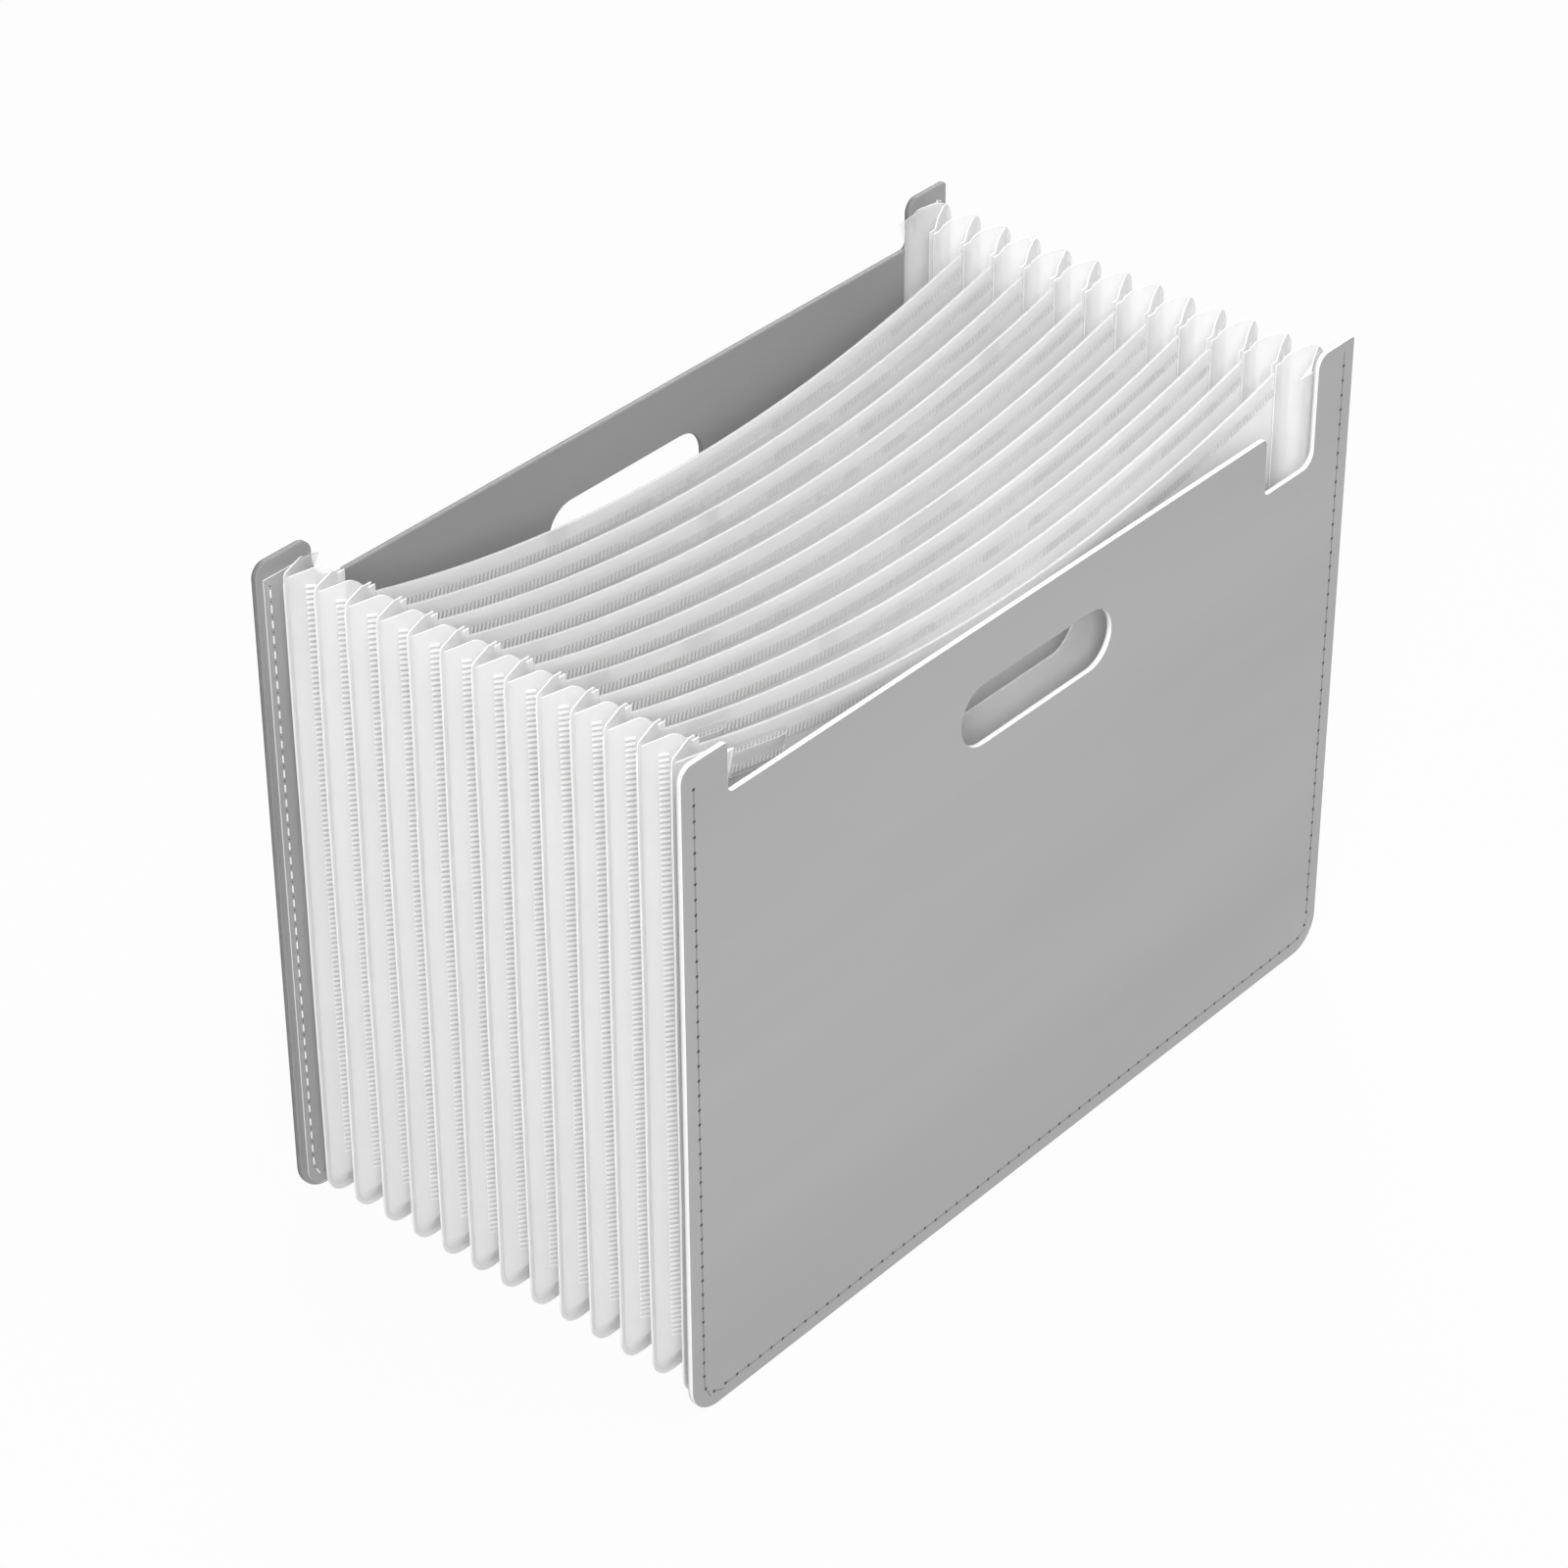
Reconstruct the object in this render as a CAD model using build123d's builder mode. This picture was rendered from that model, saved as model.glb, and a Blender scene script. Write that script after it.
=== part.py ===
"""Accordion file folder: two die-cut covers with a pleated film bellows and dividers between them.

Frame: X along the covers' width, +Y to the back, +Z up, millimetres.
The origin is on the table, at the middle of the folder's footprint.
The folder is drawn out to its full depth, as it stands open on a desk.
"""

import os
from math import asin, degrees, sqrt

from build123d import *

# Driving dimensions of the covers, which are die-cut from solid sheet
cover_width = 335.0
cover_thickness = 2.0
panel_height = 227.0
tab_rise = 18.0
cover_corner_radius = 12.0
front_left_tab_width = 20.5
front_right_tab_width = 20.0
back_left_tab_width = 24.0
back_right_tab_width = 20.5
tab_round_radius = 5.0
tab_sharp_radius = 1.5
step_corner_radius = 2.5
shoulder_radius = 11.0
notch_width = 27.5
notch_depth = 22.0
notch_corner_radius = 5.5
hand_slot_length = 76.0
hand_slot_height = 22.0
hand_slot_top_margin = 22.0

# Driving dimensions of the bellows, which is welded from thin film
pocket_count = 13
pleat_pitch = 13.1
film_thickness = 0.4
ridge_side_inset = 5.5
ridge_weld_width = 1.5
pleat_depth = 15.5
weld_land_width = 3.0
rear_ridge_top_drop = 1.5
front_ridge_top_drop = 4.5
left_ridge_top_radius = 2.0
right_ridge_top_radius = 7.0
right_ridge_limit_share = 0.65
ridge_bottom_radius = 9.0
film_shoulder_width = 4.5
film_shoulder_drop = 3.0
film_shoulder_radius = 4.0
valley_top_drop = 6.2

# Driving dimensions of the flanges that are sewn to the covers
flange_side_inset = 3.0
flange_bottom_inset = 1.0
flange_top_drop = 6.0
flange_corner_radius = 8.0
seam_inset = 5.5
seam_top_drop = 9.0
thread_width = 0.5
thread_height = 0.25

# Driving dimensions of the dividers and of the label sleeves on them
divider_thickness = 0.6
divider_end_drop = 8.5
divider_sag = 19.5
rear_divider_drop = 16.0
sleeve_length = 24.5
sleeve_height = 11.0
sleeve_thickness = 0.5
sleeve_side_clearance = 2.0
sleeve_edge_gap = 3.5
sleeve_stagger = 12.5

# Sizes that follow from the driving dimensions
divider_count = pocket_count - 1
bellows_depth = pocket_count * pleat_pitch
half_gap = bellows_depth / 2
half_width = cover_width / 2
tab_height = panel_height + tab_rise
hand_slot_centre_height = panel_height - hand_slot_top_margin - hand_slot_height / 2
ridge_x = half_width - ridge_side_inset
bend_x = ridge_x - ridge_weld_width
valley_x = ridge_x - pleat_depth
land_end_x = valley_x - weld_land_width
film_shoulder_x = valley_x + film_shoulder_width
right_ridge_limit = right_ridge_limit_share * (ridge_x - film_shoulder_x)
film_shoulder_top = tab_height - film_shoulder_drop
valley_top = tab_height - valley_top_drop
divider_end_height = tab_height - divider_end_drop

os.makedirs("parts", exist_ok=True)


def write(piece, name):
    """Label a finished piece and write its file."""
    piece.part.label = name
    export_step(piece.part, f"parts/{name}.step")


def plane_at(y):
    """The upright plane across the folder at depth y; it faces the front."""
    return Plane.XZ.offset(-y)


def valley_y(number):
    """Depth of an inner fold: 0 is the back cover and the last is the front cover."""
    return half_gap - number * pleat_pitch


# Front cover: a tab at each end of the top edge, a notch beside the right tab and a hand slot
front_left_x = -half_width + front_left_tab_width
front_right_x = half_width - front_right_tab_width
notch_x = front_right_x - notch_width
notch_height = panel_height - notch_depth
with BuildPart() as front_cover:
    with BuildSketch(plane_at(-half_gap)):
        with BuildLine():
            FilletPolyline(
                (-half_width, 0),
                (half_width, 0),
                (half_width, tab_height),
                (front_right_x, tab_height),
                (front_right_x, notch_height),
                (notch_x, notch_height),
                (notch_x, panel_height),
                (front_left_x, panel_height),
                (front_left_x, tab_height),
                (-half_width, tab_height),
                radius=[
                    cover_corner_radius,
                    cover_corner_radius,
                    tab_sharp_radius,
                    tab_round_radius,
                    notch_corner_radius,
                    step_corner_radius,
                    step_corner_radius,
                    step_corner_radius,
                    tab_sharp_radius,
                    tab_round_radius,
                ],
                close=True,
            )
        make_face()
        with Locations((0, hand_slot_centre_height)):
            SlotOverall(hand_slot_length, hand_slot_height, mode=Mode.SUBTRACT)
    extrude(amount=cover_thickness)
write(front_cover, "front_cover")

# Back cover: the same height, with a rounded shoulder at the left tab and no notch
back_left_x = -half_width + back_left_tab_width
back_right_x = half_width - back_right_tab_width
with BuildPart() as back_cover:
    with BuildSketch(plane_at(half_gap + cover_thickness)):
        with BuildLine():
            FilletPolyline(
                (-half_width, 0),
                (half_width, 0),
                (half_width, tab_height),
                (back_right_x, tab_height),
                (back_right_x, panel_height),
                (back_left_x, panel_height),
                (back_left_x, tab_height),
                (-half_width, tab_height),
                radius=[
                    cover_corner_radius,
                    cover_corner_radius,
                    tab_sharp_radius,
                    tab_round_radius,
                    step_corner_radius,
                    shoulder_radius,
                    tab_round_radius,
                    tab_round_radius,
                ],
                close=True,
            )
        make_face()
        with Locations((0, hand_slot_centre_height)):
            SlotOverall(hand_slot_length, hand_slot_height, mode=Mode.SUBTRACT)
    extrude(amount=cover_thickness)
write(back_cover, "back_cover")

# Dividers: sheets with a sagging top edge on the inner folds; the front one has a hand slot
for number in range(1, divider_count + 1):
    end_height = divider_end_height
    if number == 1:
        end_height = divider_end_height - rear_divider_drop
    with BuildPart() as divider:
        with BuildSketch(plane_at(valley_y(number) + divider_thickness / 2)):
            with BuildLine():
                top = ThreePointArc(
                    (-valley_x, end_height),
                    (0, end_height - divider_sag),
                    (valley_x, end_height),
                )
                Polyline(top @ 1, (valley_x, pleat_depth), (-valley_x, pleat_depth), top @ 0)
            make_face()
            if number == divider_count:
                with Locations((0, hand_slot_centre_height)):
                    SlotOverall(hand_slot_length, hand_slot_height, mode=Mode.SUBTRACT)
        extrude(amount=divider_thickness)
    write(divider, f"divider_{number}")


def film(name, pocket, face_y, sewn):
    """One of a pocket's two films: a weld at the ridge, a slope, and a land on the face at depth face_y.

    The section runs down one side, along the bottom and up the other side.
    A sewn film has a flat flange on the cover in place of the land.
    """
    ridge_y = valley_y(pocket) + pleat_pitch / 2
    behind = face_y > ridge_y
    near_y = face_y - film_thickness if behind else face_y + film_thickness
    left_ridge_top = tab_height - (rear_ridge_top_drop if behind else front_ridge_top_drop)
    right_ridge_top = tab_height - rear_ridge_top_drop
    route = [(-ridge_x, ridge_y), (-bend_x, ridge_y), (-valley_x, near_y)]
    if not sewn:
        route.append((-land_end_x, near_y))
    with BuildPart() as piece:
        with BuildLine(Plane.XZ) as rim:
            Polyline((-ridge_x, tab_height), (-ridge_x, 0), (ridge_x, 0), (ridge_x, tab_height))
        with BuildSketch(Plane.XY.offset(tab_height)):
            with BuildLine():
                near_face = Polyline(*route)
                offset(
                    near_face,
                    amount=film_thickness,
                    side=Side.LEFT if behind else Side.RIGHT,
                    kind=Kind.INTERSECTION,
                )
            make_face()
        sweep(path=rim.wire(), transition=Transition.RIGHT)
        with BuildSketch(plane_at(half_gap)):
            with BuildLine():
                FilletPolyline(
                    (-ridge_x, 0),
                    (ridge_x, 0),
                    (ridge_x, right_ridge_top),
                    (film_shoulder_x, film_shoulder_top),
                    (valley_x, valley_top),
                    (-valley_x, valley_top),
                    (-film_shoulder_x, film_shoulder_top),
                    (-ridge_x, left_ridge_top),
                    radius=[
                        ridge_bottom_radius,
                        ridge_bottom_radius,
                        min(right_ridge_top_radius, right_ridge_limit),
                        film_shoulder_radius,
                        0,
                        0,
                        film_shoulder_radius,
                        left_ridge_top_radius,
                    ],
                    close=True,
                )
            make_face()
        extrude(amount=bellows_depth, mode=Mode.INTERSECT)
        if sewn:
            flange_x = half_width - flange_side_inset
            flange_top = tab_height - flange_top_drop
            with BuildSketch(plane_at(max(face_y, near_y))):
                with BuildLine():
                    FilletPolyline(
                        (-flange_x, flange_top),
                        (-flange_x, flange_bottom_inset),
                        (flange_x, flange_bottom_inset),
                        (flange_x, flange_top),
                        (valley_x, flange_top),
                        (valley_x, pleat_depth),
                        (-valley_x, pleat_depth),
                        (-valley_x, flange_top),
                        radius=[0, flange_corner_radius, flange_corner_radius, 0, 0, 0, 0, 0],
                        close=True,
                    )
                make_face()
            extrude(amount=film_thickness)
    write(piece, name)


# Pocket films: two to a pocket, meeting face to face in a weld along the ridge at the pocket's middle
for pocket in range(1, pocket_count + 1):
    first = pocket == 1
    last = pocket == pocket_count
    rear_face = half_gap if first else valley_y(pocket - 1) - divider_thickness / 2
    front_face = -half_gap if last else valley_y(pocket) + divider_thickness / 2
    film(f"pocket_{pocket}_rear_film", pocket, rear_face, first)
    film(f"pocket_{pocket}_front_film", pocket, front_face, last)


def stitching(name, outer_y, inner_y):
    """A cover's sewing thread: one run on the cover's face and one on the flange's."""
    seam_x = half_width - seam_inset
    seam_top = tab_height - seam_top_drop
    with BuildPart() as thread:
        with BuildLine(Plane.XZ) as seam:
            FilletPolyline(
                (-seam_x, seam_top),
                (-seam_x, seam_inset),
                (seam_x, seam_inset),
                (seam_x, seam_top),
                radius=cover_corner_radius - seam_inset,
            )
        with BuildSketch(Plane.XY.offset(seam_top)):
            with Locations((-seam_x, outer_y), (-seam_x, inner_y)):
                Rectangle(thread_width, thread_height)
        sweep(path=seam.wire())
    write(thread, name)


# Stitching: the thread lies on the outer face of each cover and on the flange inside
outer_thread_y = half_gap + cover_thickness + thread_height / 2
inner_thread_y = half_gap - film_thickness - thread_height / 2
stitching("front_stitching", -outer_thread_y, -inner_thread_y)
stitching("back_stitching", outer_thread_y, inner_thread_y)

# Index sleeves: small film sleeves for labels, welded under the top edges of the two front dividers
sag_radius = (valley_x**2 + divider_sag**2) / (2 * divider_sag)
sag_centre_height = divider_end_height - divider_sag + sag_radius
sleeve_path_radius = sag_radius + sleeve_edge_gap + sleeve_height / 2
for place, number in enumerate((divider_count - 1, divider_count)):
    sleeve_x = -land_end_x + sleeve_side_clearance + place * sleeve_stagger + sleeve_length / 2
    sleeve_z = sag_centre_height - sqrt(sleeve_path_radius**2 - sleeve_x**2)
    with BuildPart() as index_sleeve:
        with BuildSketch(plane_at(valley_y(number) - divider_thickness / 2)):
            with Locations((sleeve_x, sleeve_z)):
                Rectangle(sleeve_length, sleeve_height, rotation=degrees(asin(sleeve_x / sleeve_path_radius)))
        extrude(amount=sleeve_thickness)
    write(index_sleeve, f"index_sleeve_{number}")
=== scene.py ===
from math import asin, cos, pi, radians, sin, sqrt

import bmesh
import bpy
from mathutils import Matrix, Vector, noise


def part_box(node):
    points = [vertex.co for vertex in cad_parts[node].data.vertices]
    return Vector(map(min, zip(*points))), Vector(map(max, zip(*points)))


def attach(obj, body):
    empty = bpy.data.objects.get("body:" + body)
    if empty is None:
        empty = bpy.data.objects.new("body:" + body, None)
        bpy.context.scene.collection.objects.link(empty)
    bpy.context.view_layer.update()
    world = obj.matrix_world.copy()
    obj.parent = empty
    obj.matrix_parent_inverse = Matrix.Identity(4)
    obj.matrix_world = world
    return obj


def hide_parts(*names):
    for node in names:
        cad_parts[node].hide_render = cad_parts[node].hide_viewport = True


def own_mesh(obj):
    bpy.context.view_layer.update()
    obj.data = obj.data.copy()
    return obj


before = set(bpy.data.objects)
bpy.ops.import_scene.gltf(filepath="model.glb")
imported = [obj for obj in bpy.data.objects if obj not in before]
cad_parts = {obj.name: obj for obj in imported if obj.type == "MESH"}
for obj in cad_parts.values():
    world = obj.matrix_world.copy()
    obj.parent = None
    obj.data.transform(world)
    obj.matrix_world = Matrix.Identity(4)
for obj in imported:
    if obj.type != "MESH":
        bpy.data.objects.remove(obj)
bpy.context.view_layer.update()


# Covers: two stiff sheets of solid grey plastic, die-cut with tabs, a hand slot and, in front, a notch.
# They are the outer walls, of one grey plastic. Their cut edges are a little rounded and painted darker
# towards the rear as shade; the front cover's are painted pale, partly whitened cut plastic and partly a
# painted highlight. The back cover's face and edges are painted darker as shade.
def finish(name, tone, roughness, **sockets):
    """A new finish in a grey tone; returns the material, its nodes, its links and its shader."""
    material = bpy.data.materials.new(name)
    material.use_nodes = True
    nodes = material.node_tree.nodes
    shader = nodes["Principled BSDF"]
    shader.inputs["Base Color"].default_value = (tone, tone, tone, 1)
    shader.inputs["Roughness"].default_value = roughness
    for socket, value in sockets.items():
        shader.inputs[socket.replace("_", " ")].default_value = value
    return material, nodes, material.node_tree.links, shader


def mottle(nodes, links, scale, turn=(0, 0, 0), stretch=(1, 1, 1), detail=4):
    """A noise on Object coordinates, turned and stretched; returns its factor output."""
    place = nodes.new("ShaderNodeTexCoord")
    mapping = nodes.new("ShaderNodeMapping")
    mapping.inputs["Rotation"].default_value = turn
    mapping.inputs["Scale"].default_value = stretch
    texture = nodes.new("ShaderNodeTexNoise")
    texture.inputs["Scale"].default_value = scale
    texture.inputs["Detail"].default_value = detail
    links.new(place.outputs["Object"], mapping.inputs["Vector"])
    links.new(mapping.outputs["Vector"], texture.inputs["Vector"])
    return texture.outputs["Fac"]


def fade(nodes, links, axis, start, end):
    """A factor that goes from 0 to 1 between two places along an axis."""
    place = nodes.new("ShaderNodeTexCoord")
    axes = nodes.new("ShaderNodeSeparateXYZ")
    reach = nodes.new("ShaderNodeMapRange")
    reach.inputs["From Min"].default_value = start
    reach.inputs["From Max"].default_value = end
    links.new(place.outputs["Object"], axes.inputs["Vector"])
    links.new(axes.outputs[axis], reach.inputs["Value"])
    return reach.outputs["Result"]


def shade(nodes, links, factor, first, last):
    """A ramp from a first to a last grey level, driven by a factor; returns its colour output."""
    ramp = nodes.new("ShaderNodeValToRGB")
    for stop, level in zip(ramp.color_ramp.elements, (first, last)):
        stop.color = (level, level, level, 1)
    links.new(factor, ramp.inputs["Fac"])
    return ramp.outputs["Color"]


def times(nodes, links, first, second):
    """Two colours multiplied; returns the colour output."""
    product = nodes.new("ShaderNodeMix")
    product.data_type = "RGBA"
    product.blend_type = "MULTIPLY"
    product.inputs["Factor"].default_value = 1
    colours = [socket for socket in product.inputs if socket.type == "RGBA"]
    links.new(first, colours[0])
    links.new(second, colours[1])
    return next(socket for socket in product.outputs if socket.type == "RGBA")


def relief(nodes, links, shader, factor, strength, depth):
    """Bump of a given depth on the shader, driven by a factor."""
    bump = nodes.new("ShaderNodeBump")
    bump.inputs["Strength"].default_value = strength
    bump.inputs["Distance"].default_value = depth
    links.new(factor, bump.inputs["Height"])
    links.new(bump.outputs["Normal"], shader.inputs["Normal"])


def piece(name, mesh, body, slot, *nodes):
    """A finished piece that rides on a body and stands for the named CAD nodes."""
    thing = bpy.data.objects.new(name, mesh)
    bpy.context.scene.collection.objects.link(thing)
    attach(thing, body)
    if nodes:
        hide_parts(*nodes)
    return thing


streak_lean = radians(-38)
streak_stretch = (0.1, 1, 1)
streak_tone = 0.06
knife_tone = 0.04
# Grey level that the cut edge's rear half darkens to: painted shade.
rear_edge_shade_level = 0.45
edge_round = 0.0003
edge_segments = 2
merge_distance = 0.000001
flat_angle = radians(1)
flat_normal = 0.9
edge_normal = 0.8
# The back cover shares the front cover's grey plastic: its darker face tone and its dark edge tone are
# painted shade.
for name, face_tone, edge_tone in (("back_cover", 0.28, 0.17), ("front_cover", 0.34, 0.83)):
    plastic, nodes, links, shader = finish(name + "_plastic", face_tone, roughness=0.42)
    streaks = mottle(nodes, links, scale=16, turn=(0, streak_lean, 0), stretch=streak_stretch)
    streaked = shade(nodes, links, streaks, face_tone - streak_tone, face_tone + streak_tone)
    links.new(streaked, shader.inputs["Base Color"])
    relief(nodes, links, shader, mottle(nodes, links, scale=2600, detail=2), strength=0.12, depth=0.0002)

    low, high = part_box(name)
    # The front cover's pale edge tone is partly the whitened cut plastic and partly a painted highlight.
    cut_edge, nodes, links, shader = finish(name + "_edge", edge_tone, roughness=0.5)
    knife_marks = mottle(nodes, links, scale=420, detail=3)
    marked = shade(nodes, links, knife_marks, edge_tone - knife_tone, edge_tone + knife_tone)
    # Painted shade: the cut edge darkens from its middle towards its rear face.
    to_rear = fade(nodes, links, "Y", start=(low.y + high.y) / 2, end=high.y)
    painted_rear_shade = shade(nodes, links, to_rear, first=1, last=rear_edge_shade_level)
    links.new(times(nodes, links, marked, painted_rear_shade), shader.inputs["Base Color"])
    relief(nodes, links, shader, knife_marks, strength=0.2, depth=0.0001)

    shape = bmesh.new()
    shape.from_mesh(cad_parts[name].data)
    bmesh.ops.remove_doubles(shape, verts=shape.verts, dist=merge_distance)
    bmesh.ops.dissolve_limit(shape, angle_limit=flat_angle, verts=shape.verts, edges=shape.edges)
    shape.normal_update()
    knife_line = [
        edge for edge in shape.edges
        if len(edge.link_faces) == 2
        and sum(abs(face.normal.y) > flat_normal for face in edge.link_faces) == 1
    ]
    bmesh.ops.bevel(
        shape, geom=knife_line, offset=edge_round, segments=edge_segments, profile=0.5,
        affect="EDGES", clamp_overlap=True,
    )
    shape.normal_update()
    for face in shape.faces:
        face.material_index = int(abs(face.normal.y) < edge_normal)
    sheet = bpy.data.meshes.new(name + "_sheet")
    shape.to_mesh(sheet)
    shape.free()
    sheet.materials.append(plastic)
    sheet.materials.append(cut_edge)
    piece(name + "_sheet", sheet, name, "cover_sheet", name)


# Dividers: frosted plastic sheets that part the pockets, each with a top edge that sags in the middle.
# The top is folded over to the front as a hem, and held down by a weld that leaves a row of short bars.
def clouded(nodes, links, shader, scale, first, last, detail=4):
    """The shader's colour drifts between two grey levels, in clouds of a given scale."""
    clouds = mottle(nodes, links, scale, detail=detail)
    links.new(shade(nodes, links, clouds, first, last), shader.inputs["Base Color"])


def thinned(nodes, links, shader, axis, start, end, first, last):
    """The shader's alpha goes from a first to a last level between two places along an axis."""
    reach = fade(nodes, links, axis, start, end)
    links.new(shade(nodes, links, reach, first, last), shader.inputs["Alpha"])


light_soak = {"Subsurface_Weight": 0.6, "Subsurface_Scale": 0.0015, "Subsurface_Radius": (1, 1, 1)}
frosted_divider, nodes, links, shader = finish(
    "frosted_divider", 0.97, roughness=0.36, Alpha=0.85, **light_soak
)
cloud = shade(nodes, links, mottle(nodes, links, scale=22), first=0.95, last=1)
# Painted shade: the divider's colour darkens towards the left end and towards the rear, for the shade inside
# the pockets.
to_right = fade(nodes, links, "X", start=-0.165, end=0.05)
to_rear = fade(nodes, links, "Y", start=-0.07, end=0.085)
depth = times(
    nodes, links,
    shade(nodes, links, to_right, first=0.75, last=0.985), shade(nodes, links, to_rear, first=1, last=0.74),
)
links.new(times(nodes, links, cloud, depth), shader.inputs["Base Color"])
relief(nodes, links, shader, mottle(nodes, links, scale=900, detail=2), strength=0.08, depth=0.0001)

hem_film, nodes, links, shader = finish("hem_film", 0.97, roughness=0.34, Alpha=0.45)
clouded(nodes, links, shader, scale=60, first=0.96, last=0.985)

sheet_edge, nodes, links, shader = finish("sheet_edge", 0.95, roughness=0.4, Alpha=0.3)
clouded(nodes, links, shader, scale=300, first=0.9, last=0.97)

hem_bar, nodes, links, shader = finish("hem_bar", 0.95, roughness=0.3)
clouded(nodes, links, shader, scale=500, first=0.92, last=0.98)
# Painted light: the bars thin out towards the right, where the light no longer picks them out; the weld
# itself runs the whole length.
thinned(nodes, links, shader, "X", start=-0.147, end=0.03, first=0.85, last=0.12)

# Painted shade: a grey strip behind the hem's weld bars, strongest at the left end and gone towards the
# right, for the shade under the hem.
hem_shade_strip, nodes, links, shader = finish("hem_shade_strip", 0.5, roughness=0.3)
clouded(nodes, links, shader, scale=200, first=0.4, last=0.52)
thinned(nodes, links, shader, "X", start=-0.147, end=0.02, first=0.38, last=0)

weld_mark, nodes, links, shader = finish("weld_mark", 0.9, roughness=0.3, Alpha=0.8)
clouded(nodes, links, shader, scale=500, first=0.86, last=0.94)


def plain_mesh(carrier):
    """The evaluated object as a mesh of its own; the carrier is removed."""
    seen = carrier.evaluated_get(bpy.context.evaluated_depsgraph_get())
    mesh = bpy.data.meshes.new_from_object(seen)
    bpy.data.objects.remove(carrier)
    return mesh


def thicken(mesh, thickness):
    """The mesh as a closed sheet, grown against its normals; its rim has the next material."""
    carrier = bpy.data.objects.new("carrier", mesh)
    bpy.context.scene.collection.objects.link(carrier)
    wall = carrier.modifiers.new("wall", "SOLIDIFY")
    wall.thickness = thickness
    wall.offset = -1
    wall.use_even_offset = True
    wall.material_offset_rim = 1
    return plain_mesh(carrier)


def grid_mesh(name, rows, *materials):
    """A sheet through rows of points, all rows alike in length, with its materials."""
    shape = bmesh.new()
    lines = [[shape.verts.new(point) for point in row] for row in rows]
    for upper, lower in zip(lines, lines[1:]):
        for a, b, c, d in zip(upper, upper[1:], lower[1:], lower):
            shape.faces.new((a, b, c, d))
    mesh = bpy.data.meshes.new(name)
    shape.to_mesh(mesh)
    shape.free()
    for material in materials:
        mesh.materials.append(material)
    return mesh


def soft_shaded(mesh, crease):
    """Smooth shading, with edges sharper than the crease kept."""
    mesh.shade_smooth()
    mesh.set_sharp_from_angle(angle=crease)
    return mesh


def new_tree(name, sizes, materials):
    """An empty Geometry Nodes tree with named sizes and materials; returns it, its input and its output."""
    tree = bpy.data.node_groups.new(name, "GeometryNodeTree")
    tree.interface.new_socket("Geometry", in_out="INPUT", socket_type="NodeSocketGeometry")
    tree.interface.new_socket("Geometry", in_out="OUTPUT", socket_type="NodeSocketGeometry")
    for size in sizes:
        tree.interface.new_socket(size, in_out="INPUT", socket_type="NodeSocketFloat")
    for material in materials:
        tree.interface.new_socket(material, in_out="INPUT", socket_type="NodeSocketMaterial")
    return tree, tree.nodes.new("NodeGroupInput"), tree.nodes.new("NodeGroupOutput")


def spaced(tree, source):
    """Points at the tree's pitch along its curve, and the rotation that lays X along the curve there."""
    spread = tree.nodes.new("GeometryNodeResampleCurve")
    spread.mode = "LENGTH"
    tangent = tree.nodes.new("GeometryNodeInputTangent")
    align = tree.nodes.new("FunctionNodeAlignRotationToVector")
    align.axis = "X"
    align.pivot_axis = "Y"
    tree.links.new(source.outputs["Geometry"], spread.inputs["Curve"])
    tree.links.new(source.outputs["Pitch"], spread.inputs["Length"])
    tree.links.new(tangent.outputs["Tangent"], align.inputs["Vector"])
    return spread.outputs["Curve"], align.outputs["Rotation"]


def repeated(tree, shape, points, rotation, material):
    """A shape set on every point, made real and painted; returns the geometry output."""
    place = tree.nodes.new("GeometryNodeInstanceOnPoints")
    real = tree.nodes.new("GeometryNodeRealizeInstances")
    paint = tree.nodes.new("GeometryNodeSetMaterial")
    tree.links.new(points, place.inputs["Points"])
    tree.links.new(shape, place.inputs["Instance"])
    tree.links.new(rotation, place.inputs["Rotation"])
    tree.links.new(place.outputs["Instances"], real.inputs["Geometry"])
    tree.links.new(real.outputs["Geometry"], paint.inputs["Geometry"])
    tree.links.new(material, paint.inputs["Material"])
    return paint.outputs["Geometry"]


def weld_bar_tree():
    """Geometry Nodes: short bars laid across a curve at an even pitch."""
    sizes = ("Pitch", "Bar Width", "Bar Length", "Bar Height", "Slant")
    tree, source, result = new_tree("weld_bars", sizes, ("Material",))
    link = tree.links.new
    points, rotation = spaced(tree, source)
    size = tree.nodes.new("ShaderNodeCombineXYZ")
    bar = tree.nodes.new("GeometryNodeMeshCube")
    link(source.outputs["Bar Width"], size.inputs["X"])
    link(source.outputs["Bar Height"], size.inputs["Y"])
    link(source.outputs["Bar Length"], size.inputs["Z"])
    link(size.outputs["Vector"], bar.inputs["Size"])
    slant = tree.nodes.new("FunctionNodeAxisAngleToRotation")
    slant.inputs["Axis"].default_value = (0, 1, 0)
    turn = tree.nodes.new("FunctionNodeRotateRotation")
    turn.rotation_space = "LOCAL"
    link(source.outputs["Slant"], slant.inputs["Angle"])
    link(rotation, turn.inputs["Rotation"])
    link(slant.outputs["Rotation"], turn.inputs["Rotate By"])
    bars = repeated(tree, bar.outputs["Mesh"], points, turn.outputs["Rotation"], source.outputs["Material"])
    link(bars, result.inputs["Geometry"])
    return tree


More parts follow.
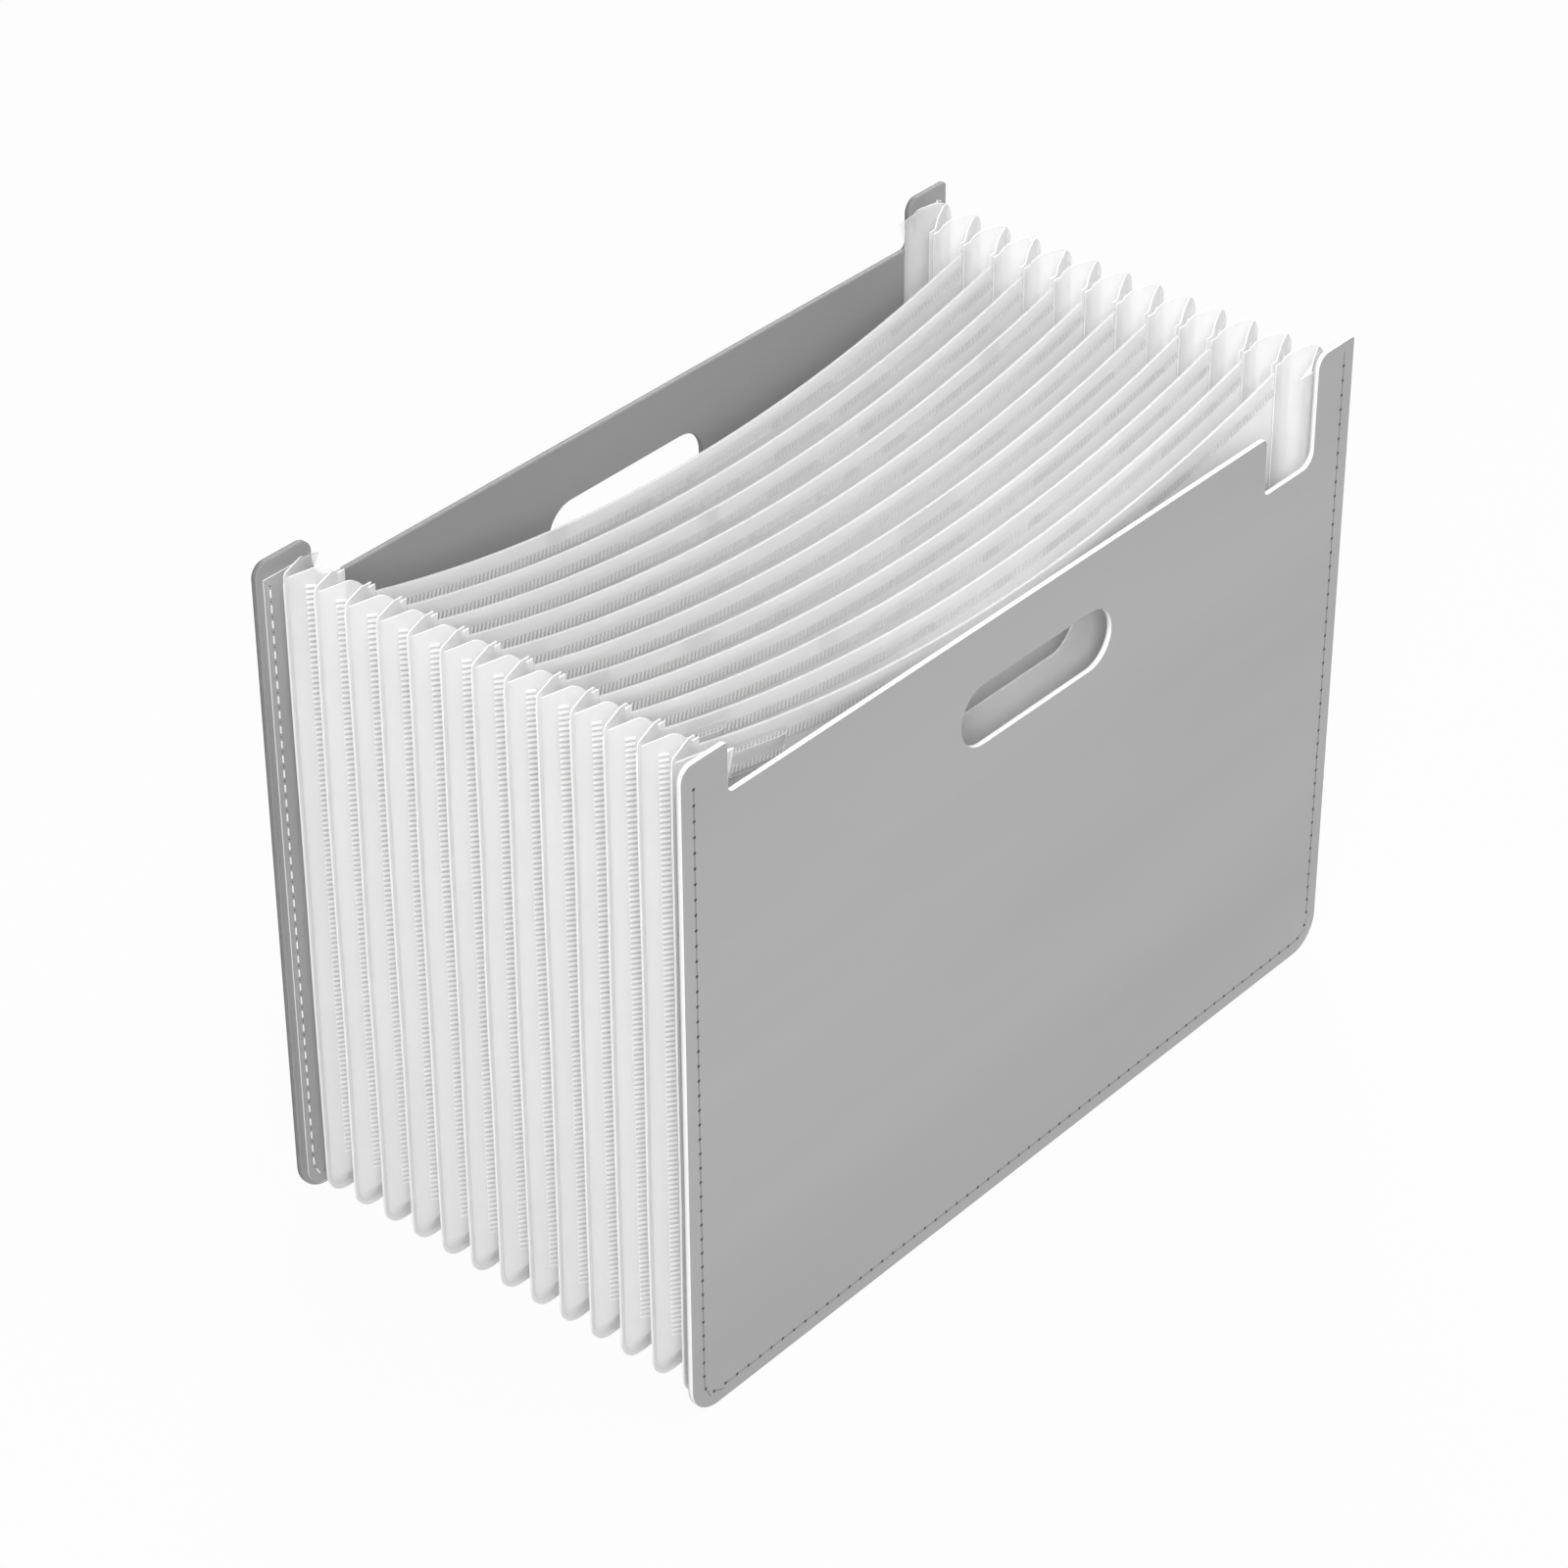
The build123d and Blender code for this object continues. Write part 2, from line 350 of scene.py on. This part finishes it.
def along(tree, runs, **inputs):
    """The tree's mesh along runs of points, with its named inputs set."""
    line = bpy.data.curves.new("line", "CURVE")
    line.dimensions = "3D"
    for run in runs:
        spline = line.splines.new("POLY")
        spline.points.add(len(run) - 1)
        for point, place in zip(spline.points, run):
            point.co = (*place, 1)
    carrier = bpy.data.objects.new("line", line)
    bpy.context.scene.collection.objects.link(carrier)
    layer = carrier.modifiers.new("layer", "NODES")
    layer.node_group = tree
    identifiers = {item.name: item.identifier for item in tree.interface.items_tree if item.in_out == "INPUT"}
    for name, value in inputs.items():
        layer[identifiers[name.replace("_", " ")]] = value
    return plain_mesh(carrier)


def joined(name, *meshes):
    """The meshes as one, each with its own materials."""
    whole = bmesh.new()
    materials = []
    for mesh in meshes:
        first = len(materials)
        materials.extend(mesh.materials)
        before = len(whole.faces)
        whole.from_mesh(mesh)
        whole.faces.ensure_lookup_table()
        for face in whole.faces[before:]:
            face.material_index += first
    mesh = bpy.data.meshes.new(name)
    whole.to_mesh(mesh)
    whole.free()
    for material in materials:
        mesh.materials.append(material)
    return mesh


divider_count = sum(name.startswith("divider_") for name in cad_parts)
divider_sag = 0.0195
rim_normal = 0.5
hem_depth = 0.0086
hem_thickness = 0.00025
hem_end_margin = 0.0036
hem_steps = 60
fold_crease = radians(50)
weld_drop = 0.0068
shade_strip_half = 0.0016
shade_strip_lift = 0.00004
puff_depth = 0.00025
puff_scale = 28
puff_shift = 3.7
puff_end = weld_drop - shade_strip_half
hem_drops = (0.0001, 0.0012, 0.0024, 0.0036, 0.0046, puff_end, hem_depth)
shade_strip_drops = (weld_drop + shade_strip_half, weld_drop - shade_strip_half)
hem_bar_sizes = {
    "Pitch": 0.0018, "Bar_Width": 0.0009, "Bar_Length": 0.0028, "Bar_Height": 0.0002, "Slant": 0.0,
}
weld_bars = weld_bar_tree()
low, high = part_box("divider_2")
arc_radius = (high.x ** 2 + divider_sag ** 2) / (2 * divider_sag)
hem_half = high.x - hem_end_margin
columns = [hem_half * (2 * step / hem_steps - 1) for step in range(hem_steps + 1)]


def below_arc(x, top, drop):
    """Height on a divider at x, a drop below its sagging top edge."""
    return top - divider_sag + arc_radius - sqrt(arc_radius ** 2 - x ** 2) - drop


def puff(x, drop, number):
    """How far a hem stands off its divider between the fold and the weld: unevenly along its length."""
    share = min(drop / puff_end, 1)
    uneven = 0.5 + noise.noise(Vector((x * puff_scale, number * puff_shift, 0)))
    return puff_depth * sin(pi * share) * min(max(uneven, 0), 1)


for number in range(1, divider_count + 1):
    node = f"divider_{number}"
    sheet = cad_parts[node].data
    sheet.materials.clear()
    sheet.materials.append(frosted_divider)
    sheet.materials.append(sheet_edge)
    for face in sheet.polygons:
        face.material_index = int(abs(face.normal.y) < rim_normal)
    low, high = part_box(node)
    hem_face = low.y - hem_thickness
    hem_rows = [
        [(x, hem_face - puff(x, drop, number), below_arc(x, high.z, drop)) for x in columns]
        for drop in hem_drops
    ]
    hem = thicken(grid_mesh("hem", hem_rows, hem_film, sheet_edge), -hem_thickness)
    # The painted shade strip behind the weld bars.
    shade_strip_rows = [
        [(x, hem_face - shade_strip_lift, below_arc(x, high.z, drop)) for x in columns] for drop in shade_strip_drops
    ]
    ground = grid_mesh("ground", shade_strip_rows, hem_shade_strip)
    weld_line = [(x, hem_face, below_arc(x, high.z, weld_drop)) for x in columns]
    bars = along(weld_bars, [weld_line], Material=hem_bar, **hem_bar_sizes)
    folded = joined(node + "_hem", soft_shaded(hem, fold_crease), ground, bars)
    piece(node + "_hem", folded, node, "divider_sheet")


# Index sleeves: clear film sleeves for a slip of card, welded under the top edges of the two front dividers.
# The front film is the shorter one, so that the mouth stands a little open. Bars weld it along the bottom.
clear_film, nodes, links, shader = finish("clear_film", 0.93, roughness=0.18, Alpha=0.3)
relief(nodes, links, shader, mottle(nodes, links, scale=70), strength=0.15, depth=0.0004)
clear_rim, nodes, links, shader = finish("clear_rim", 0.95, roughness=0.3, Alpha=0.8)
clouded(nodes, links, shader, scale=300, first=0.9, last=0.97)

sleeve_length = 0.0245
sleeve_height = 0.011
sleeve_gap = 0.0035
sleeve_lip = 0.0026
sleeve_weld = 0.0082
sleeve_wall = 0.00015
sleeve_swell = 0.0007
swell_power = 8
sleeve_steps = 12
sleeve_crease = radians(40)
rear_lift = hem_thickness + 0.00005
front_lift = hem_thickness + 0.0003
bar_lift = hem_thickness + 0.0005
bar_shares = (-0.48, -0.24, 0, 0.24, 0.48)
sleeve_bar_sizes = {**hem_bar_sizes, "Bar_Length": 0.0026}
sleeve_radius = arc_radius + sleeve_gap
for number in (divider_count - 1, divider_count):
    node = f"index_sleeve_{number}"
    low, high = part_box(node)
    tilt = asin((low.x + high.x) / 2 / (sleeve_radius + sleeve_height / 2))
    along_sleeve = Vector((cos(tilt), 0, sin(tilt)))
    down_sleeve = Vector((sin(tilt), 0, -cos(tilt)))
    arc_centre = Vector((0, high.y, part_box(f"divider_{number}")[1].z - divider_sag + arc_radius))
    top_middle = arc_centre + down_sleeve * sleeve_radius
    films = []
    for lip, swell, lift in ((0, 0, rear_lift), (sleeve_lip, sleeve_swell, front_lift)):
        rows = []
        for down in range(sleeve_steps + 1):
            share = down / sleeve_steps
            row = []
            for step in range(sleeve_steps + 1):
                across = step / sleeve_steps - 0.5
                point = top_middle + along_sleeve * across * sleeve_length
                point += down_sleeve * (lip + (sleeve_height - lip) * share)
                point.y -= lift + swell * (1 - share) * (1 - (2 * across) ** swell_power)
                row.append(point)
            rows.append(row)
        film = thicken(grid_mesh("sleeve_film", rows, clear_film, clear_rim), -sleeve_wall)
        films.append(soft_shaded(film, sleeve_crease))
    off_sheet = Vector((0, bar_lift, 0))
    weld_line = [
        top_middle + along_sleeve * share * sleeve_length + down_sleeve * sleeve_weld - off_sheet
        for share in bar_shares
    ]
    bars = along(weld_bars, [weld_line], Material=weld_mark, **sleeve_bar_sizes)
    piece(node + "_film", joined(node + "_film", *films, bars), f"divider_{number}", "sleeve_film", node)


# Pocket films: the bellows, two frosted films to each pocket, down both sides and along the bottom. They are
# welded face to face along the ridge, spread to the dividers, and are sewn to the covers at the ends.
# A second weld runs down the slope of each front film, and leaves short bars on a strip of clearer film.
frosted_film, nodes, links, shader = finish("frosted_film", 0.97, roughness=0.34, **light_soak)
haze = shade(nodes, links, mottle(nodes, links, scale=26), first=0.96, last=0.985)
# Painted shade: the film's colour darkens over its top few centimetres, to hold down the light that falls
# strongest there.
to_top = fade(nodes, links, "Z", start=0.205, end=0.243)
painted_top_shade = shade(nodes, links, to_top, first=1, last=0.9)
links.new(times(nodes, links, haze, painted_top_shade), shader.inputs["Base Color"])
thinned(nodes, links, shader, "Z", start=0.19, end=0.245, first=0.68, last=0.45)
relief(nodes, links, shader, mottle(nodes, links, scale=130, detail=3), strength=0.12, depth=0.0004)

film_edge, nodes, links, shader = finish("film_edge", 0.97, roughness=0.4, Alpha=0.75)
clouded(nodes, links, shader, scale=300, first=0.93, last=0.985)

flat_film, nodes, links, shader = finish("flat_film", 0.9, roughness=0.3, Alpha=0.14)
clouded(nodes, links, shader, scale=60, first=0.84, last=0.96)
relief(nodes, links, shader, mottle(nodes, links, scale=90, detail=3), strength=0.3, depth=0.0006)

weld_ground, nodes, links, shader = finish("weld_ground", 0.6, roughness=0.25)
clouded(nodes, links, shader, scale=200, first=0.52, last=0.66)
thinned(nodes, links, shader, "Z", start=0.02, end=0.24, first=0.08, last=0.28)

pocket_count = divider_count + 1
film_wall = 0.00038
touch_gap = 0.00001
ridge_weld = 0.0015
pleat_depth = 0.0155
land_width = 0.003
left_top_radius = 0.002
right_top_radius = 0.007
rear_top_drop = 0.0015
front_top_drop = 0.0045
ridge_bottom_radius = 0.009
shoulder_inset = 0.011
shoulder_drop = 0.003
valley_drop = 0.0062
valley_power = 1.7
fold_radius = 0.0004
bend_reach = 0.0014
bend_steps = 4
slope_insets = (0.004, 0.006, 0.008, 0.01, 0.0112, 0.0124, 0.0134)
flange_top_drop = 0.006
flange_bottom = 0.001
flange_corner_radius = 0.008
flange_shares = (0.02, 0.25, 0.5, 0.75, 1)
leg_steps = 26
corner_steps = 6
bottom_steps = 30
slope_weld_inset = 0.0081
slope_weld_top_drop = 0.009
slope_weld_end = 0.0168
strip_half = 0.0015
strip_lift = 0.00006
strip_steps = 78
slope_bar_sizes = {
    "Pitch": 0.0019, "Bar_Width": 0.00095, "Bar_Length": 0.003, "Bar_Height": 0.0003, "Slant": radians(10),
}
ripple = 0.0006
ripple_scale = 13
ripple_shift = 7.3

ridge_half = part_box("pocket_2_front_film")[1].x
tab_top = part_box("back_cover")[1].z
half_pitch = (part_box("divider_1")[0].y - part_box("divider_2")[0].y) / 2
divider_half = (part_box("divider_1")[1].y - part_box("divider_1")[0].y) / 2
cover_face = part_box("back_cover")[0].y
flange_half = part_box("pocket_1_rear_film")[1].x


def round_u(half, bottom, radius, left_top, right_top):
    """Points (x, z) down the left side, round a corner, along the bottom and up the right side."""
    arc = [
        (half - radius + radius * cos(turn), bottom + radius - radius * sin(turn))
        for turn in (pi / 2 * step / corner_steps for step in range(corner_steps))
    ]
    left, right = (
        [(half, top + (bottom + radius - top) * step / leg_steps) for step in range(leg_steps)] + arc
        for top in (left_top, right_top)
    )
    floor_half = half - radius
    floor = [(floor_half * (2 * step / bottom_steps - 1), bottom) for step in range(bottom_steps + 1)]
    return [(-x, z) for x, z in left] + floor + right[::-1]


def film_top(inset, ridge_drop, radius):
    """Height of a film's top edge at an inset from the ridge: a round shoulder leads down to the valley."""
    share = min(inset / shoulder_inset, 1)
    fall = min(max((inset - shoulder_inset) / (pleat_depth - shoulder_inset), 0), 1)
    corner = 0
    if inset < radius:
        corner = radius - sqrt(radius ** 2 - (radius - inset) ** 2)
    drop = ridge_drop * (1 - share) + shoulder_drop * share
    drop += (valley_drop - shoulder_drop) * fall ** valley_power
    return tab_top - drop - corner


def bend(before, corner, after):
    """A rounded corner between two straight stretches of a section."""
    start = corner + (before - corner).normalized() * bend_reach
    end = corner + (after - corner).normalized() * bend_reach
    shares = [step / bend_steps for step in range(bend_steps + 1)]
    return [start * (1 - t) ** 2 + corner * 2 * t * (1 - t) + end * t ** 2 for t in shares]


def slope_depth(inset, land):
    """Depth of a film's slope behind the ridge's plane at an inset, with its land at depth land."""
    return land * min(max((inset - ridge_weld) / (pleat_depth - ridge_weld), 0), 1)


def film_mesh(land, flanged, ridge_drop):
    """A pocket's front film about its ridge's plane; its land, or its flange, lies at depth -land."""
    edge = Vector((0, 0))
    fold = Vector((ridge_weld, 0))
    valley = Vector((pleat_depth, -land))
    inner = Vector((pleat_depth + land_width, -land))
    section = [edge] + bend(edge, fold, valley)
    section += [Vector((inset, -slope_depth(inset, land))) for inset in slope_insets]
    section += [valley] if flanged else bend(fold, valley, inner) + [inner]
    rows = []
    for inset, depth in section:
        radius = max(ridge_bottom_radius - inset, fold_radius)
        left_top = film_top(inset, ridge_drop, left_top_radius)
        right_top = film_top(inset, rear_top_drop, right_top_radius)
        line = round_u(ridge_half - inset, inset, radius, left_top, right_top)
        rows.append([(x, depth - touch_gap, z) for x, z in line])
    if flanged:
        flange_top = tab_top - flange_top_drop
        for share in flange_shares:
            half = ridge_half - pleat_depth + (flange_half - ridge_half + pleat_depth) * share
            bottom = pleat_depth + (flange_bottom - pleat_depth) * share
            radius = fold_radius + (flange_corner_radius - fold_radius) * share
            line = round_u(half, bottom, radius, flange_top, flange_top)
            rows.append([(x, -land - touch_gap, z) for x, z in line])
    materials = (frosted_film, film_edge, flat_film, film_edge)
    film = grid_mesh("film", rows, *materials)
    across = len(rows[0]) - 1
    for face in film.polygons[(len(section) - 1) * across:]:
        face.material_index = materials.index(flat_film)
    return soft_shaded(thicken(film, film_wall), fold_crease)


def slope_weld(land):
    """The weld on a front film's slope: bars on a clear strip, down both sides."""
    top = tab_top - slope_weld_top_drop
    middles = [side * (ridge_half - slope_weld_inset) for side in (-1, 1)]
    runs = [[(middle, 0, z) for z in (top, slope_weld_end)] for middle in middles]
    bars = along(weld_bars, runs, Material=weld_mark, **slope_bar_sizes)
    strips = []
    for middle in middles:
        rows = []
        for step in range(strip_steps + 1):
            z = slope_weld_end + (top - slope_weld_end) * step / strip_steps
            rows.append([(middle + x, -strip_lift, z) for x in (-strip_half, strip_half)])
        strips.append(grid_mesh("strip", rows, weld_ground))
    weld = joined("slope_weld", *strips, bars)
    for vert in weld.vertices:
        vert.co.y -= slope_depth(ridge_half - abs(vert.co.x), land) + film_wall + touch_gap
    return weld


def placed(template, name, ridge_y, side, number):
    """A film at its pocket: turned to the rear if side is 1, and rippled as its neighbour at the ridge is."""
    shape = bmesh.new()
    shape.from_mesh(template)
    pocket_shift = Vector((0, number * ripple_shift, 0))
    for vert in shape.verts:
        loose = max(1 - abs(vert.co.y) / half_pitch, 0)
        wave = noise.noise(Vector((vert.co.x, 0, vert.co.z)) * ripple_scale + pocket_shift)
        vert.co.y = ridge_y + (-side * vert.co.y) + ripple * loose * wave
    if side == 1:
        bmesh.ops.reverse_faces(shape, faces=shape.faces)
    mesh = bpy.data.meshes.new(name)
    shape.to_mesh(mesh)
    shape.free()
    for material in template.materials:
        mesh.materials.append(material)
    return mesh


templates = {}
for sewn, clear in ((False, divider_half), (True, 0)):
    land = half_pitch - clear - film_wall - 2 * touch_gap
    front_film = film_mesh(land, sewn, front_top_drop)
    templates["rear", sewn] = film_mesh(land, sewn, rear_top_drop)
    templates["front", sewn] = joined("front_film", front_film, slope_weld(land))

for number in range(1, pocket_count + 1):
    ridge_y = cover_face - (2 * number - 1) * half_pitch
    for side, word, wall in ((1, "rear", number - 1), (-1, "front", number)):
        sewn = wall in (0, pocket_count)
        node = f"pocket_{number}_{word}_film"
        body = {0: "back_cover", pocket_count: "front_cover"}.get(wall, f"divider_{wall}")
        clear = 0 if sewn else divider_half
        mesh = placed(templates[word, sewn], node, ridge_y, side, number)
        film = piece(node + "_fold", mesh, body, "bellows_film", node)
        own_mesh(film)


# Stitching: a lockstitch that holds each end film's flange to its cover, dark outside and pale inside.
# The needle goes through cover and flange, and leaves a row of holes along three edges; a near-black disc in
# each hole is painted shade.
dark_thread, nodes, links, shader = finish("dark_thread", 0.2, roughness=0.7)
clouded(nodes, links, shader, scale=1800, first=0.14, last=0.28, detail=2)
pale_thread, nodes, links, shader = finish("pale_thread", 0.85, roughness=0.7)
clouded(nodes, links, shader, scale=1800, first=0.75, last=0.95, detail=2)
# Painted shade: near-black discs that stand in for the shade inside the needle holes.
needle_hole_shade, nodes, links, shader = finish("needle_hole_shade", 0.03, roughness=0.8)
clouded(nodes, links, shader, scale=900, first=0.02, last=0.06)


def stitch_tree():
    """Geometry Nodes: a thread from each needle hole to the next along a curve, and a disc in each hole,
    which carries the holes' painted shade.
    """
    sizes = ("Pitch", "Thread Radius", "Thread Length", "Hole Radius", "Hole Depth")
    tree, source, result = new_tree("stitches", sizes, ("Thread Material", "Hole Material"))
    link = tree.links.new
    points, rotation = spaced(tree, source)
    strand = tree.nodes.new("GeometryNodeMeshCylinder")
    strand.inputs["Vertices"].default_value = 8
    lie = tree.nodes.new("GeometryNodeTransform")
    lie.inputs["Rotation"].default_value = (0, pi / 2, 0)
    half = tree.nodes.new("ShaderNodeMath")
    half.operation = "MULTIPLY"
    half.inputs[1].default_value = 0.5
    shift = tree.nodes.new("ShaderNodeCombineXYZ")
    link(source.outputs["Thread Radius"], strand.inputs["Radius"])
    link(source.outputs["Thread Length"], strand.inputs["Depth"])
    link(source.outputs["Pitch"], half.inputs[0])
    link(half.outputs["Value"], shift.inputs["X"])
    link(strand.outputs["Mesh"], lie.inputs["Geometry"])
    link(shift.outputs["Vector"], lie.inputs["Translation"])
    hole = tree.nodes.new("GeometryNodeMeshCylinder")
    hole.inputs["Vertices"].default_value = 10
    face_out = tree.nodes.new("GeometryNodeTransform")
    face_out.inputs["Rotation"].default_value = (pi / 2, 0, 0)
    link(source.outputs["Hole Radius"], hole.inputs["Radius"])
    link(source.outputs["Hole Depth"], hole.inputs["Depth"])
    link(hole.outputs["Mesh"], face_out.inputs["Geometry"])
    join = tree.nodes.new("GeometryNodeJoinGeometry")
    for shape, material in ((lie, "Thread Material"), (face_out, "Hole Material")):
        row = repeated(tree, shape.outputs["Geometry"], points, rotation, source.outputs[material])
        link(row, join.inputs["Geometry"])
    link(join.outputs["Geometry"], result.inputs["Geometry"])
    return tree


stitches = stitch_tree()
thread_radius = 0.00025
seam_corner_radius = 0.0065
outer_stitch = {"Thread_Radius": 0.00022, "Thread_Length": 0.0045, "Hole_Radius": 0.0006}
inner_stitch = {"Thread_Radius": thread_radius, "Thread_Length": 0.0026, "Hole_Radius": 0.00025}
for cover in ("back", "front"):
    node = f"{cover}_stitching"
    low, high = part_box(node)
    sheet_low, sheet_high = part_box(f"{cover}_cover")
    outer_y, inner_y = sheet_high.y, sheet_low.y - film_wall
    if cover == "front":
        outer_y, inner_y = sheet_low.y, sheet_high.y + film_wall
    seam_half = (high.x - low.x) / 2 - thread_radius
    route = round_u(seam_half, low.z + thread_radius, seam_corner_radius, high.z, high.z)
    rows = [
        along(
            stitches, [[(x, y, z) for x, z in route]], Pitch=0.0055, Hole_Depth=0.00012,
            Thread_Material=thread, Hole_Material=needle_hole_shade, **stitch,
        )
        for y, thread, stitch in ((outer_y, dark_thread, outer_stitch), (inner_y, pale_thread, inner_stitch))
    ]
    piece(node + "_seam", joined(node + "_seam", *rows), f"{cover}_cover", "thread", node)


# Stage: a plain pale floor in a white room, under soft lamps at the left, overhead and behind.
# The camera stands where the photograph's did.
def shown(nodes, links):
    """A factor that is 1 for what is seen, straight or in a shine, and 0 for what only lights the scene."""
    path = nodes.new("ShaderNodeLightPath")
    factor = path.outputs["Is Camera Ray"]
    for ray in ("Is Glossy Ray", "Is Transmission Ray"):
        either = nodes.new("ShaderNodeMath")
        either.operation = "MAXIMUM"
        links.new(factor, either.inputs[0])
        links.new(path.outputs[ray], either.inputs[1])
        factor = either.outputs["Value"]
    return factor


floor_paint, nodes, links, shader = finish("floor_paint", 0.5, roughness=0.8)
clouded(nodes, links, shader, scale=3, first=0.49, last=0.51)
white_share = nodes.new("ShaderNodeMath")
white_share.operation = "MULTIPLY"
white_share.inputs[1].default_value = 0.95
white = nodes.new("ShaderNodeEmission")
blend = nodes.new("ShaderNodeMixShader")
links.new(shown(nodes, links), white_share.inputs[0])
links.new(white_share.outputs["Value"], blend.inputs["Fac"])
links.new(shader.outputs["BSDF"], blend.inputs[1])
links.new(white.outputs["Emission"], blend.inputs[2])
links.new(blend.outputs["Shader"], nodes["Material Output"].inputs["Surface"])
floor_reach = (-6, 6)
floor_rows = [[(x, y, 0) for x in floor_reach] for y in floor_reach]
floor = bpy.data.objects.new("floor", grid_mesh("floor", floor_rows, floor_paint))
bpy.context.scene.collection.objects.link(floor)

world = bpy.data.worlds.new("studio")
bpy.context.scene.world = world
world.use_nodes = True
nodes = world.node_tree.nodes
links = world.node_tree.links
sky = nodes["Background"]
sky.inputs["Color"].default_value = (1, 1, 1, 1)
sky.inputs["Strength"].default_value = 0.3
white = nodes.new("ShaderNodeBackground")
white.inputs["Color"].default_value = (1, 1, 1, 1)
blend = nodes.new("ShaderNodeMixShader")
links.new(shown(nodes, links), blend.inputs["Fac"])
links.new(sky.outputs["Background"], blend.inputs[1])
links.new(white.outputs["Background"], blend.inputs[2])
links.new(blend.outputs["Shader"], nodes["World Output"].inputs["Surface"])


def lamp(name, place, aim, size, power):
    """A square soft box at a place, aimed at a point."""
    light = bpy.data.lights.new(name, "AREA")
    light.size = size
    light.energy = power
    holder = bpy.data.objects.new(name, light)
    holder.location = place
    holder.rotation_euler = (Vector(aim) - Vector(place)).to_track_quat("-Z", "Y").to_euler()
    bpy.context.scene.collection.objects.link(holder)


folder_middle = (0, 0, 0.12)
lamp("key", (-2.9, -2.3, 2.4), folder_middle, size=1.8, power=124)
lamp("high", (-2.2, -1.9, 4.0), folder_middle, size=1.8, power=90)
lamp("top", (0.25, -0.35, 1.5), (0.05, 0, 0.2), size=0.7, power=9)
lamp("rear", (2.7, 2.6, 2.4), folder_middle, size=1.8, power=72)

azimuth = radians(-50)
elevation = radians(33.96)
distance = 1.5847
target = Vector((0, 0, 0.1218))
camera = bpy.data.cameras.new("camera")
camera.lens = 110.1
camera.sensor_width = 36
camera.shift_x = -0.0256
camera.shift_y = -0.0094
eye = bpy.data.objects.new("camera", camera)
away = Vector((sin(azimuth) * cos(elevation), -cos(azimuth) * cos(elevation), sin(elevation)))
eye.location = target + away * distance
eye.rotation_euler = (-away).to_track_quat("-Z", "Y").to_euler()
bpy.context.scene.collection.objects.link(eye)
bpy.context.scene.camera = eye
bpy.context.scene.view_settings.view_transform = "Standard"
